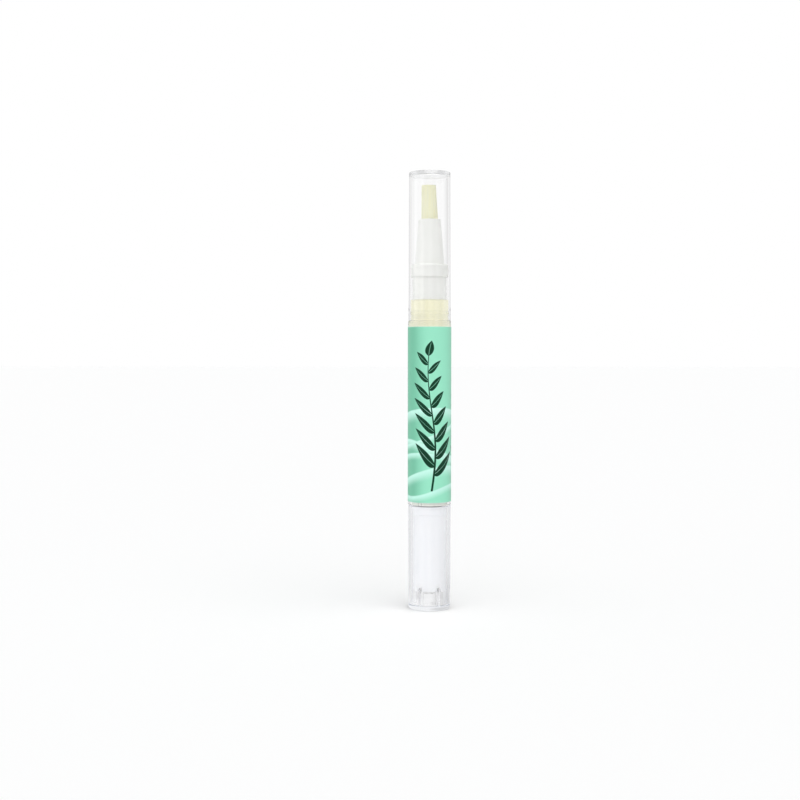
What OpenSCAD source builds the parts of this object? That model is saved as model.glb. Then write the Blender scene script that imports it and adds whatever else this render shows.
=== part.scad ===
// Twist-up oil pen with a brush tip, standing on its twist knob, cap on.
// Turning the knob turns a threaded spindle in a fixed nut, which pushes a piston up the barrel
// and feeds oil through a thin tube into the brush. All sizes are in millimetres, +Z up.

/* [Knob] */
// Height of the clear twist knob
knob_h = 31; // [27:0.5:35]
// Outer diameter of the knob at its open top
knob_top_d = 12.7; // [12.3:0.1:13.4]
// Outer diameter of the knob at its base
knob_base_d = 12.4; // [12:0.1:13]
// Bore of the knob, straight all the way down
knob_bore_d = 10.5; // [10.2:0.1:10.9]
// Thickness of the knob's floor
knob_floor = 1.5; // [1:0.1:2.2]
// Round on the knob's outer base edge
knob_edge_r = 0.45; // [0.2:0.05:0.7]
// Small round on the rims that show, at the knob's and the cap's mouths
rim_r = 0.12; // [0.05:0.01:0.18]
// Number of ribs in the foot of the knob that carry and key the drive sleeve
rib_count = 6; // [4:1:8]
// Height of those ribs above the floor
rib_h = 5.3; // [4:0.1:6.5]
// Width of each rib
rib_w = 0.8; // [0.5:0.1:1.2]
// How far each rib stands in from the bore
rib_depth = 1.3; // [0.9:0.1:1.6]

/* [Drive sleeve] */
// Outer diameter of the milky sleeve inside the knob
sleeve_d = 9.9; // [9.4:0.1:10.1]
// Wall of the sleeve
sleeve_wall = 0.9; // [0.6:0.1:1.2]
// Thickness of the web that closes the sleeve's top
sleeve_web = 1.5; // [1:0.1:2.2]
// Height of the wider collar that is pressed into the knob's mouth
collar_h = 2.4; // [1.5:0.1:4]
// Depth of the notches in the sleeve's foot that drop over the ribs
notch_h = 1.2; // [0.6:0.1:2]
// Wall of the spigot around the spindle, where it drives it
spigot_wall = 0.8; // [0.6:0.05:0.95]
// Height of the double-D hole at the spigot's top
drive_h = 5; // [3.5:0.1:5.5]
// How far the snap barb stands out from the spigot
barb_out = 0.6; // [0.3:0.05:0.8]
// Height of the barb
barb_h = 2; // [1:0.1:2.6]
// Height of the seat under the click ring
click_seat_h = 0.6; // [0.4:0.05:1]
// How far the two keys on the spigot stand out
click_key_out = 0.3; // [0.15:0.05:0.35]
// Width of those keys
click_key_w = 0.8; // [0.5:0.1:1.2]

/* [Ratchet] */
// Number of ratchet teeth, which is the clicks to a turn
tooth_count = 12; // [8:2:16]
// Depth of the teeth
tooth_depth = 0.4; // [0.25:0.05:0.45]
// Wall outside the teeth
ratchet_wall = 0.6; // [0.5:0.05:0.7]
// Height of the toothed chamber
tooth_h = 5; // [4.4:0.1:6]
// Height of the shoulder that the barb snaps behind
catch_h = 2; // [1.2:0.1:2.6]
// Height of the chamber above that shoulder
barb_room_h = 5.3; // [4.9:0.1:6]
// Wall of that chamber
barb_room_wall = 1; // [0.8:0.1:1.2]
// Height of the click ring
click_h = 3; // [2:0.1:3.2]
// Wall of the click ring's hub
hub_wall = 0.5; // [0.45:0.05:0.6]
// Thickness of each sprung arm
arm_t = 0.4; // [0.3:0.05:0.45]
// Angle that each arm sweeps round the hub
arm_sweep = 120; // [90:5:140]
// Room between a pawl's tip and the bottom of its tooth space
pawl_clear = 0.08; // [0.05:0.01:0.12]
// Room between an arm and the tooth crests
arm_clear = 0.15; // [0.1:0.01:0.2]

/* [Barrel] */
// Running gap between the knob and the barrel
twist_gap = 0.3; // [0.2:0.05:0.5]
// Outer diameter of the clear barrel
barrel_d = 12.8; // [12.7:0.1:13.6]
// Length of the barrel from its lower end to the cap's seat
barrel_h = 54.8; // [51:0.2:60]
// Bore that the piston runs in
bore_d = 10.2; // [9.9:0.1:10.4]
// How much deeper the socket for the nut is than the bore, on the radius
socket_step = 0.3; // [0.25:0.05:0.4]
// Number of ribs that stop the nut from turning
socket_rib_count = 3; // [2:1:6]
// How far those ribs stand into the socket
socket_rib_out = 0.2; // [0.1:0.05:0.2]
// Width of those ribs
socket_rib_w = 1; // [0.6:0.1:1.4]
// Height of the sloped shoulder below the cap's seat
shoulder_h = 1.8; // [1:0.1:3]
// Outer diameter of the neck inside the cap
neck_d = 11.3; // [11.1:0.05:11.5]
// Height of the neck above the cap's seat
neck_h = 12.9; // [11:0.1:15]
// How far the ring that grips the cap stands out
grip_out = 0.1; // [0.05:0.01:0.12]
// Height of that ring
grip_h = 0.9; // [0.5:0.1:1.4]
// Height of the ring's middle above the cap's seat
grip_lift = 2.4; // [1.8:0.1:4]
// How far a cap ring's slopes run along the neck for each step out
grip_slope = 1; // [0.8:0.1:1.4]

/* [Label] */
// Bare band of barrel below the label
label_lift = 0.95; // [0.6:0.05:1.5]
// Height of the wrap label
label_h = 52.05; // [44:0.05:52.1]
// Thickness of the label's film
label_t = 0.07; // [0.04:0.01:0.12]
// Gap between the label's two ends
seam_gap = 0.4; // [0.2:0.1:1]
// Direction of that gap, measured from +X
seam_angle = 118; // [0:1:359]

/* [Ferrule] */
// Length of the plug inside the neck
plug_h = 6.7; // [5.5:0.1:8]
// Wall of the plug
plug_wall = 0.95; // [0.8:0.05:1.1]
// Height of each of the plug's two sealing beads
bead_h = 0.6; // [0.4:0.1:0.9]
// Height of the flange above the neck
flange_h = 3.75; // [3:0.05:4.6]
// How far the flange stands out past the neck
flange_out = 0.03; // [0.01:0.01:0.04]
// Chamfer on the flange's upper edge
flange_chamfer = 0.3; // [0.1:0.05:0.5]
// Depth of the fine groove round the flange
groove_depth = 0.12; // [0.05:0.01:0.2]
// Height of that groove
groove_h = 0.25; // [0.15:0.05:0.4]
// Depth of the groove's middle below the flange's top
groove_drop = 1.3; // [0.9:0.05:1.8]
// Diameter of the cone at its foot
cone_base_d = 8.75; // [8.2:0.05:9.6]
// Diameter of the cone at its mouth
cone_mouth_d = 6.6; // [6.3:0.05:7.2]
// Height of the cone
cone_h = 13.35; // [11.5:0.05:15]
// Bore of the mouth, round the bristles
mouth_bore_d = 5.5; // [5.4:0.05:5.7]
// Length of the mouth bore, down to the shoulder that holds the tuft
mouth_bore_h = 8.5; // [6.5:0.1:10]
// Bore below that shoulder
holder_bore_d = 6.2; // [6.1:0.05:6.5]
// Height of that bore
holder_bore_h = 7.4; // [6.6:0.1:8]

/* [Brush] */
// Room between the brush's tip and the cap's end
tip_room = 2.6; // [1.5:0.1:5]
// Spacing of the bristle rings at the root
bristle_pitch = 0.225; // [0.21:0.005:0.235]
// Innermost ring of bristles, round the feed tube
inner_ring = 4; // [4:1:5]
// Outermost ring of bristles
outer_ring = 11; // [10:1:11]
// Thickness of one bristle at its root
bristle_d = 0.16; // [0.1:0.01:0.17]
// Thickness of the disc that the bristles are fused into
root_h = 1.2; // [0.8:0.1:1.6]
// How far the bristles reach into that disc
root_bite = 0.3; // [0.2:0.05:0.5]
// How far the trimmed tip leans to one side
tip_lean = 0.27; // [0:0.01:0.4]
// Width of the trimmed tip, as a share of the root's
tip_share = 0.86; // [0.8:0.01:1]
// Unevenness of the trimmed tips
trim_depth = 0.3; // [0:0.05:0.6]
// Outer diameter of the feed tube
tube_d = 1.2; // [0.9:0.05:1.4]
// Wall of the feed tube
tube_wall = 0.25; // [0.15:0.05:0.35]
// How far the feed tube reaches past the mouth, among the bristles
tube_rise = 1.9; // [0.5:0.1:4]
// How far the feed tube hangs below the holder
tube_drop = 4.2; // [2:0.1:6]
// Diameter of the tube's collar
tube_collar_d = 2.2; // [1.8:0.1:2.8]
// Height of the tube's collar
tube_collar_h = 0.9; // [0.5:0.1:1.4]
// Thickness of the holder's flange
holder_flange_h = 1.3; // [0.8:0.1:2]

/* [Cap] */
// Height of the cap
cap_h = 43.85; // [42:0.05:48]
// Wall of the cap
cap_wall = 0.5; // [0.4:0.05:0.6]
// Thickness of the cap's end
cap_top_t = 1.2; // [0.8:0.1:1.6]
// Room between the neck and the cap at its rim, on the radius
cap_fit = 0.15; // [0.14:0.01:0.2]
// How much the cap's radius narrows towards its end
cap_draft = 0.15; // [0.05:0.01:0.16]
// Round on the cap's upper edge
cap_edge_r = 0.8; // [0.3:0.05:1.2]
// Gap between the cap's rim and its seat
seat_gap = 0.05; // [0.02:0.01:0.1]

/* [Piston and spindle] */
// Rise of the spindle's thread for each turn
thread_lead = 1.5; // [1:0.1:1.5]
// Turns of the knob from full to empty
turn_count = 24; // [16:1:24]
// Outer diameter of the spindle
spindle_d = 4.2; // [3.8:0.1:4.3]
// Width across the spindle's two flats
spindle_flat_w = 3.2; // [2.8:0.1:3.4]
// Gap between the spindle's lower end and the knob's floor
spindle_lift = 3.1; // [1.5:0.1:4]
// Height of the nut
nut_h = 5; // [3.5:0.1:6]
// Chamfer at the mouths of the nut's bore
nut_chamfer = 0.3; // [0.1:0.05:0.5]
// Height of the piston
piston_h = 6; // [5.6:0.1:7]
// Gap between the full piston and the nut
piston_lift = 1; // [0.5:0.1:2]
// Round on the piston's upper edge
piston_edge_r = 0.4; // [0.2:0.05:0.6]
// Thickness of the seal ring
seal_t = 0.96; // [0.8:0.02:1.2]
// Room above and below the seal ring in its groove
seal_room = 0.12; // [0.05:0.01:0.2]
// Diameter of the spindle's snap head
head_d = 4; // [3.6:0.1:4.2]
// Height of the head
head_h = 2.4; // [1.6:0.1:2.8]
// Diameter of the spindle's neck, below the head
head_neck_d = 2.8; // [2.2:0.1:3]
// Thickness of the piston's lip below the head
head_lip_h = 1.3; // [0.8:0.1:1.6]

/* [Fits] */
// Radial clearance between parts that turn or slide in each other
run_fit = 0.05; // [0.03:0.01:0.07]
// Radial clearance between parts that are pressed together
press_fit = 0.02; // [0.01:0.01:0.03]
// Axial play of the knob and of the spindle's head
end_play = 0.1; // [0.05:0.01:0.2]
// Sides of the round pieces' preview
round_sides = 72; // [48:8:120]

/* [Hidden] */
$fn = round_sides;

// What one cut runs past the solid that it cuts
over = 1;

// Heights from the base up, each from the piece below it
sleeve_z = knob_floor + rib_h - notch_h;
barrel_z = knob_h + twist_gap;
catch_z = barrel_z + tooth_h;
barb_room_z = catch_z + catch_h;
nut_z = barb_room_z + barb_room_h;
socket_top_z = nut_z + nut_h;
piston_z = socket_top_z + piston_lift;
seat_z = barrel_z + barrel_h;
neck_top_z = seat_z + neck_h;
plug_z = neck_top_z - plug_h;
flange_top_z = neck_top_z + flange_h;
mouth_z = flange_top_z + cone_h;
root_top_z = mouth_z - mouth_bore_h;
holder_top_z = root_top_z - root_h;
holder_z = root_top_z - holder_bore_h;
cap_z = seat_z + seat_gap;
cap_top_z = cap_z + cap_h;
cap_ceiling_z = cap_top_z - cap_top_t;
brush_tip_z = cap_ceiling_z - tip_room;
label_z = barrel_z + label_lift;

// Radii that two or more pieces share
bore_r = bore_d / 2;
socket_r = bore_r + socket_step;
neck_r = neck_d / 2;
cap_bore_r = neck_r + cap_fit;
cap_rim_r = cap_bore_r + cap_wall;
spindle_r = spindle_d / 2;
drive_r = spindle_r + run_fit;
spigot_r = drive_r + spigot_wall;
valley_r = socket_r - press_fit - ratchet_wall;
crest_r = valley_r - tooth_depth;
hub_r = spigot_r + press_fit + hub_wall;
knob_bore_r = knob_bore_d / 2;
tube_r = tube_d / 2;

// The piston's own levels, from its lower face
piston_r = bore_r - run_fit;
head_z = piston_z + head_lip_h + end_play;
seal_mid_z = piston_z + piston_h / 2;
seal_groove_r = bore_r - press_fit - seal_t - press_fit;
seal_groove_h = seal_t + 2 * seal_room;

// The angle of one tooth, and of the play behind a pawl
tooth_angle = 360 / tooth_count;
pawl_play_angle = 1.2;
// How far round a tooth its slope runs, and a pawl's tip, as shares of the tooth's angle
slope_share = 0.92;
pawl_share = 0.45;
// Points along each curved edge of a click arm
arm_steps = 16;
pawl_count = 2;

function polar(r, a) = [r * cos(a), r * sin(a)];
function mix(a, b, t) = a + (b - a) * t;

// The waste outside a round of radius r on an outer corner, above (1) or below (-1) its centre
module corner_waste(corner_r, corner_z, r, side) {
    translate([corner_r - r, corner_z - side * r]) difference() {
        translate([0, side > 0 ? 0 : -(r + over)]) square([r + over, r + over]);
        circle(r = r);
    }
}

// One block for each of count places round the axis, from radius r_in out to r_out
module spokes(count, width, r_in, r_out, z, height) {
    for (i = [0 : count - 1])
        rotate([0, 0, 360 * i / count])
            translate([r_in, -width / 2, z]) cube([r_out - r_in, width, height]);
}

// A round bar with two flats, which the spindle and its drive hole share
module double_d(r, flat_w, z, height) {
    intersection() {
        translate([0, 0, z]) cylinder(r = r, h = height);
        translate([-r - over, -flat_w / 2, z - over]) cube([2 * (r + over), flat_w, height + 2 * over]);
    }
}

// Clear twist knob: a deep cup with a thick floor and short ribs in its foot
module knob_profile() {
    difference() {
        polygon([[0, 0], [knob_base_d / 2, 0], [knob_top_d / 2, knob_h], [knob_bore_r, knob_h],
            [knob_bore_r, knob_floor], [0, knob_floor]]);
        corner_waste(knob_base_d / 2, 0, knob_edge_r, -1);
        corner_waste(knob_top_d / 2, knob_h, rim_r, 1);
    }
}

module knob() {
    color([0.95, 0.96, 0.98, 0.35]) {
        rotate_extrude() knob_profile();
        intersection() {
            spokes(rib_count, rib_w, knob_bore_r - rib_depth, knob_bore_r + rim_r, knob_floor - rim_r,
                rib_h + rim_r);
            translate([0, 0, knob_floor - rim_r]) cylinder(r = knob_bore_r + rim_r / 2, h = rib_h + rim_r);
        }
    }
}

// Milky drive sleeve: tube, pressed collar, web, and the spigot that turns the spindle
module drive_sleeve() {
    sleeve_r = sleeve_d / 2;
    collar_r = knob_bore_r - press_fit;
    spigot_top_z = nut_z - twist_gap;
    drive_z = spigot_top_z - drive_h;
    barb_z = barb_room_z + end_play;
    color([0.95, 0.95, 0.96]) difference() {
        union() {
            rotate_extrude() polygon([
                [sleeve_r - sleeve_wall, sleeve_z], [sleeve_r, sleeve_z],
                [sleeve_r, knob_h - collar_h - (collar_r - sleeve_r)], [collar_r, knob_h - collar_h],
                [collar_r, knob_h], [hub_r, knob_h], [hub_r, knob_h + click_seat_h],
                [spigot_r, knob_h + click_seat_h], [spigot_r, barb_z], [spigot_r + barb_out, barb_z],
                [spigot_r, barb_z + barb_h], [spigot_r, spigot_top_z], [0, spigot_top_z],
                [0, knob_h - sleeve_web], [sleeve_r - sleeve_wall, knob_h - sleeve_web]]);
            spokes(pawl_count, click_key_w, spigot_r - click_key_out, spigot_r + click_key_out,
                knob_h + click_seat_h - rim_r, click_h + rim_r);
        }
        double_d(drive_r, spindle_flat_w + 2 * run_fit, drive_z - over, drive_h + 2 * over);
        translate([0, 0, knob_h - sleeve_web - over])
            cylinder(r = drive_r, h = drive_z - knob_h + sleeve_web + over);
        spokes(rib_count, rib_w + 2 * run_fit, knob_bore_r - rib_depth - run_fit, knob_bore_r,
            sleeve_z - over, notch_h + over);
    }
}

// Click ring: a hub keyed to the spigot, with sprung arms that trail their pawls over the teeth
function pawl_edge(a) = mix(valley_r - pawl_clear, crest_r - arm_clear, a / (pawl_share * tooth_angle));
function arm_outer(a) = max(a < pawl_share * tooth_angle ? pawl_edge(a) : 0,
    mix(crest_r - arm_clear, hub_r, a / arm_sweep));
function arm_inner(a) = mix(crest_r - arm_clear - arm_t, hub_r - arm_t, a / arm_sweep);

module click_arm() {
    tip_steps = [0, pawl_share * tooth_angle];
    sweep_steps = [for (i = [1 : arm_steps]) mix(pawl_share * tooth_angle, arm_sweep, i / arm_steps)];
    angles = concat(tip_steps, sweep_steps);
    last = len(angles) - 1;
    polygon(concat([for (a = angles) polar(arm_outer(a), a)],
        [for (i = [0 : last]) polar(arm_inner(angles[last - i]), angles[last - i])]));
}

module click_ring() {
    color([0.55, 0.6, 0.62]) translate([0, 0, knob_h + click_seat_h]) difference() {
        linear_extrude(click_h) {
            circle(r = hub_r);
            for (i = [0 : pawl_count - 1])
                rotate(360 * i / pawl_count + pawl_play_angle) click_arm();
        }
        translate([0, 0, -over]) cylinder(r = spigot_r + press_fit, h = click_h + 2 * over);
        spokes(pawl_count, click_key_w + 2 * press_fit, 0, spigot_r + click_key_out + press_fit,
            -over, click_h + 2 * over);
    }
}

// Ratchet ring: saw teeth inside, then the shoulder that the drive sleeve's barb snaps behind
module tooth_space() {
    polygon([for (i = [0 : tooth_count - 1]) each [
        polar(valley_r, i * tooth_angle),
        polar(mix(valley_r, crest_r, 0.5), (i + slope_share / 2) * tooth_angle),
        polar(crest_r, (i + slope_share) * tooth_angle),
        polar(crest_r, (i + 1) * tooth_angle)]]);
}

module socket_notches(z, height) {
    translate([0, 0, z]) linear_extrude(height) rib_marks(press_fit);
}

module ratchet_ring() {
    ring_h = nut_z - barrel_z;
    color([0.86, 0.87, 0.88]) difference() {
        translate([0, 0, barrel_z]) cylinder(r = socket_r - press_fit, h = ring_h);
        translate([0, 0, barrel_z - over]) linear_extrude(tooth_h + over) tooth_space();
        translate([0, 0, barrel_z]) cylinder(r = spigot_r + run_fit, h = ring_h);
        translate([0, 0, barb_room_z]) cylinder(r = valley_r + ratchet_wall - barb_room_wall, h = ring_h);
        socket_notches(barrel_z - over, ring_h + 2 * over);
    }
}

// Nut for the spindle's thread, held up against the step in the barrel's bore
module spindle_nut() {
    nut_r = spindle_r + run_fit;
    color([0.9, 0.9, 0.88]) difference() {
        rotate_extrude() polygon([
            [nut_r + nut_chamfer, nut_z], [socket_r - press_fit, nut_z],
            [socket_r - press_fit, socket_top_z], [nut_r + nut_chamfer, socket_top_z],
            [nut_r, socket_top_z - nut_chamfer], [nut_r, nut_z + nut_chamfer]]);
        socket_notches(nut_z - over, nut_h + 2 * over);
    }
}

// Spindle: double-D bar, neck and snap head, without its thread
module spindle() {
    spindle_z = knob_floor + spindle_lift;
    bar_top_z = piston_z - end_play;
    color([0.97, 0.97, 0.95]) {
        double_d(spindle_r, spindle_flat_w, spindle_z, bar_top_z - spindle_z);
        rotate_extrude() polygon([
            [0, bar_top_z - head_neck_d / 2], [head_neck_d / 2, bar_top_z - head_neck_d / 2],
            [head_neck_d / 2, head_z], [head_d / 2, head_z],
            [head_d / 2, head_z + head_h / 2], [head_neck_d / 2, head_z + head_h],
            [0, head_z + head_h]]);
    }
}

// Piston: two lands with a groove between them, and a socket that the head turns in
module piston() {
    socket_top = head_z + head_h + end_play;
    color([0.9, 0.92, 0.93]) rotate_extrude() difference() {
        polygon([[head_neck_d / 2 + run_fit, piston_z], [piston_r, piston_z],
            [piston_r, seal_mid_z - seal_groove_h / 2], [seal_groove_r, seal_mid_z - seal_groove_h / 2],
            [seal_groove_r, seal_mid_z + seal_groove_h / 2], [piston_r, seal_mid_z + seal_groove_h / 2],
            [piston_r, piston_z + piston_h], [0, piston_z + piston_h], [0, socket_top],
            [head_d / 2 + run_fit, socket_top], [head_d / 2 + run_fit, head_z - end_play],
            [head_neck_d / 2 + run_fit, head_z - end_play]]);
        corner_waste(piston_r, piston_z + piston_h, piston_edge_r, 1);
    }
}

module piston_seal() {
    color([0.2, 0.22, 0.24]) translate([0, 0, seal_mid_z]) rotate_extrude()
        translate([seal_groove_r + press_fit + seal_t / 2, 0]) circle(d = seal_t);
}

// Oil between the full piston and the ferrule's plug
module oil() {
    oil_z = piston_z + piston_h + run_fit;
    color([0.95, 0.93, 0.74, 0.8]) translate([0, 0, oil_z])
        cylinder(r = bore_r - press_fit, h = plug_z - run_fit - oil_z);
}

// Socket in the barrel's lower end, with ribs that stop the nut and the ratchet ring from turning
module rib_marks(grow) {
    for (i = [0 : socket_rib_count - 1])
        rotate(360 * i / socket_rib_count)
            translate([socket_r - socket_rib_out - grow, -socket_rib_w / 2 - grow])
                square([socket_rib_out + grow + over, socket_rib_w + 2 * grow]);
}

// Clear barrel: straight body, sloped shoulder, neck with its grip ring, and the stepped bore
module barrel() {
    body_r = barrel_d / 2;
    grip_z = seat_z + grip_lift;
    grip_run = grip_out * grip_slope;
    color([0.93, 0.95, 0.95, 0.35]) difference() {
        rotate_extrude() difference() {
            polygon([[bore_r, barrel_z], [body_r, barrel_z], [body_r, seat_z - shoulder_h],
                [cap_rim_r, seat_z], [neck_r, seat_z], [neck_r, grip_z - grip_h / 2 - grip_run],
                [neck_r + grip_out, grip_z - grip_h / 2], [neck_r + grip_out, grip_z + grip_h / 2],
                [neck_r, grip_z + grip_h / 2 + grip_run], [neck_r, neck_top_z], [bore_r, neck_top_z]]);
            corner_waste(body_r, barrel_z, rim_r, -1);
        }
        translate([0, 0, barrel_z - over]) linear_extrude(socket_top_z - barrel_z + over) difference() {
            circle(r = socket_r);
            rib_marks(0);
        }
    }
}

// Wrap label: a thin film round the barrel whose two ends nearly meet
module label() {
    film_r = barrel_d / 2 + press_fit;
    color([0.57, 0.84, 0.73]) difference() {
        translate([0, 0, label_z]) cylinder(r = film_r + label_t, h = label_h);
        translate([0, 0, label_z - over]) cylinder(r = film_r, h = label_h + 2 * over);
        rotate([0, 0, seam_angle]) translate([0, -seam_gap / 2, label_z - over])
            cube([barrel_d, seam_gap, label_h + 2 * over]);
    }
}

// Ferrule: hollow plug with two sealing beads, flange, and the cone that holds the brush
module brush_ferrule() {
    plug_r = bore_r - run_fit;
    flange_r = neck_r + flange_out;
    groove_z = flange_top_z - groove_drop;
    bead_share = [0.25, 0.7];
    color([0.95, 0.95, 0.94]) {
        rotate_extrude() polygon([
            [plug_r - plug_wall, plug_z], [plug_r, plug_z], [plug_r, neck_top_z],
            [flange_r, neck_top_z], [flange_r, groove_z - groove_h / 2],
            [flange_r - groove_depth, groove_z - groove_h / 2],
            [flange_r - groove_depth, groove_z + groove_h / 2], [flange_r, groove_z + groove_h / 2],
            [flange_r, flange_top_z - flange_chamfer], [flange_r - flange_chamfer, flange_top_z],
            [cone_base_d / 2, flange_top_z], [cone_mouth_d / 2, mouth_z], [mouth_bore_d / 2, mouth_z],
            [mouth_bore_d / 2, root_top_z], [holder_bore_d / 2, root_top_z],
            [holder_bore_d / 2, holder_z], [plug_r - plug_wall, holder_z]]);
        for (share = bead_share)
            translate([0, 0, plug_z + share * plug_h]) rotate_extrude()
                polygon([[plug_r - plug_wall / 2, -bead_h / 2], [plug_r, -bead_h / 2],
                    [bore_r - press_fit, -bead_h / 4], [bore_r - press_fit, bead_h / 4],
                    [plug_r, bead_h / 2], [plug_r - plug_wall / 2, bead_h / 2]]);
    }
}

// Holder: a bush that presses the tuft's root up against the ferrule's shoulder
module tuft_holder() {
    flange_r = bore_r - run_fit - plug_wall - press_fit;
    color([0.82, 0.85, 0.88]) rotate_extrude() polygon([
        [tube_r + press_fit, holder_z - holder_flange_h], [flange_r, holder_z - holder_flange_h],
        [flange_r, holder_z], [holder_bore_d / 2 - press_fit, holder_z],
        [holder_bore_d / 2 - press_fit, holder_top_z], [tube_r + press_fit, holder_top_z]]);
}

// Feed tube: carries oil through the holder and the root into the middle of the brush
module feed_tube() {
    collar_top_z = holder_z - holder_flange_h;
    tube_z = collar_top_z - tube_drop;
    color([0.75, 0.78, 0.8]) difference() {
        union() {
            translate([0, 0, tube_z]) cylinder(r = tube_r, h = mouth_z + tube_rise - tube_z);
            translate([0, 0, collar_top_z - tube_collar_h]) cylinder(d = tube_collar_d, h = tube_collar_h);
        }
        translate([0, 0, tube_z - over])
            cylinder(r = tube_r - tube_wall, h = mouth_z + tube_rise - tube_z + 2 * over);
    }
}

// Bristles stand in rings, each a three-sided tapered prism, and converge on a trimmed tip
bristle_sides = 3;
bristle_levels = 3;
bristle_places = [for (ring = [inner_ring : outer_ring]) for (i = [0 : 6 * ring - 1])
    let (a = 60 * (i + ring % 2 / 2) / ring) [ring * bristle_pitch, a]];

// Tip heights follow a golden-angle count, so neighbours differ and none repeats in a row
function trim(i) = trim_depth * (i * 0.618 - floor(i * 0.618));

function bristle_ring(place, share, lean, z) = [for (k = [0 : bristle_sides - 1])
    let (middle = polar(place[0] * share, place[1]),
        corner = polar(bristle_d / 2 * share, place[1] + 360 * k / bristle_sides))
    [middle[0] + corner[0] - lean, middle[1] + corner[1], z]];

function bristle_points(place, i) = concat(
    bristle_ring(place, 1, 0, root_top_z - root_bite),
    bristle_ring(place, 1, 0, mouth_z),
    bristle_ring(place, tip_share, tip_lean, brush_tip_z - trim(i)));

function bristle_faces(first) = concat([[first, first + 1, first + 2]],
    [for (level = [0 : bristle_levels - 2]) for (k = [0 : bristle_sides - 1])
        let (here = first + level * bristle_sides + k,
            next = first + level * bristle_sides + (k + 1) % bristle_sides)
        each [[here, here + bristle_sides, next], [next, here + bristle_sides, next + bristle_sides]]],
    [let (top = first + (bristle_levels - 1) * bristle_sides) [top, top + 2, top + 1]]);

module bristle_tuft() {
    bristle_size = bristle_sides * bristle_levels;
    color([0.94, 0.94, 0.8]) union() {
        difference() {
            translate([0, 0, root_top_z - root_h])
                cylinder(r = holder_bore_d / 2 - press_fit, h = root_h);
            translate([0, 0, root_top_z - root_h - over])
                cylinder(r = tube_r + press_fit, h = root_h + 2 * over);
        }
        polyhedron(
            points = [for (i = [0 : len(bristle_places) - 1]) each bristle_points(bristle_places[i], i)],
            faces = [for (i = [0 : len(bristle_places) - 1]) each bristle_faces(i * bristle_size)]);
    }
}

// Clear slip-on cap: thin tapered wall, thick rounded end, and a shallow groove for the grip ring
module cap() {
    groove_z = seat_z + grip_lift;
    color([0.95, 0.96, 0.98, 0.3]) rotate_extrude() difference() {
        polygon([[cap_bore_r, cap_z], [cap_rim_r, cap_z], [cap_rim_r - cap_draft, cap_top_z],
            [0, cap_top_z], [0, cap_ceiling_z], [cap_bore_r - cap_draft, cap_ceiling_z]]);
        corner_waste(cap_rim_r - cap_draft, cap_top_z, cap_edge_r, 1);
        corner_waste(cap_rim_r, cap_z, rim_r, -1);
        translate([neck_r, groove_z - grip_h])
            square([cap_fit + grip_out, 2 * grip_h]);
    }
}

cap();
bristle_tuft();
tuft_holder();
feed_tube();
brush_ferrule();
barrel();
label();
oil();
piston();
piston_seal();
spindle();
spindle_nut();
ratchet_ring();
click_ring();
drive_sleeve();
knob();
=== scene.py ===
# %% [markdown]
# # A clear twist-up oil pen
# The pen stands on its clear knob. Above the knob come a labelled clear barrel full of pale
# yellow oil, a white ferrule with a trimmed brush, and a clear slip-on cap over them.
# The engineering model is loaded first, as a fixed frame. Each piece that shows is then
# built again as a smooth mesh in the same place, because clear plastic bends light and
# would show every flat facet of a coarse one. Pieces that hide inside keep the engineering
# mesh and get a better finish.

# %% Load the frame
import random
from math import atan2, ceil, cos, pi, radians, sin

import bmesh
import bpy
from mathutils import Matrix, Vector


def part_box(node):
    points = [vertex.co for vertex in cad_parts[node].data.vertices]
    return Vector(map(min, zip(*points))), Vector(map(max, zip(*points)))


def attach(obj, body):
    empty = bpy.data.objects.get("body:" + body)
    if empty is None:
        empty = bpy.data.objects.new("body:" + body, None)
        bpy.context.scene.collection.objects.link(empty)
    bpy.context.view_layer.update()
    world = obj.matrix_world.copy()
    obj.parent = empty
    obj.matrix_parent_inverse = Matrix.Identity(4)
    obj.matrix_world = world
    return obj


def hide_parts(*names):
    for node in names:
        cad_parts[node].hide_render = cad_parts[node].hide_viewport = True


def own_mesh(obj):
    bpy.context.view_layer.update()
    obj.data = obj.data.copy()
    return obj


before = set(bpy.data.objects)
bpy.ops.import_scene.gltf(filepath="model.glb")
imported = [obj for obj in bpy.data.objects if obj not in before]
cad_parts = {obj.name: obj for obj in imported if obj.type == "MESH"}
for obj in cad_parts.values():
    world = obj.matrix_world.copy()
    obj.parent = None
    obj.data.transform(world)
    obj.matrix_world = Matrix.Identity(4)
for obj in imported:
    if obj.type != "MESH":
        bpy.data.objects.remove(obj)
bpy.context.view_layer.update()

# %% [markdown]
# ## Units and heights
# Blender works in metres here, and a pen is drawn in millimetres, so MM turns one into the
# other. The heights come from the frame's own boxes where two pieces meet, which keeps the
# scene true to the frame. Only sizes inside a piece are written as numbers.

# %% Heights shared by several pieces
MM = 0.001
AXIS = Vector((0, 0, 1))


def low(node):
    """Height of a frame node's lowest point, in millimetres."""
    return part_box(node)[0][2] / MM


def high(node):
    """Height of a frame node's highest point, in millimetres."""
    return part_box(node)[1][2] / MM


KNOB_TOP = high("knob")
BARREL_FOOT = low("barrel")
CAP_RIM = low("cap")
CAP_TOP = high("cap")
NECK_TOP = high("barrel")
PLUG_FOOT = low("brush_ferrule")
MOUTH = high("brush_ferrule")
for name in ("knob", "barrel", "label", "cap", "brush_ferrule", "oil", "bristle_tuft"):
    print(f"{name}: {low(name):.2f} to {high(name):.2f} mm")

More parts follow.
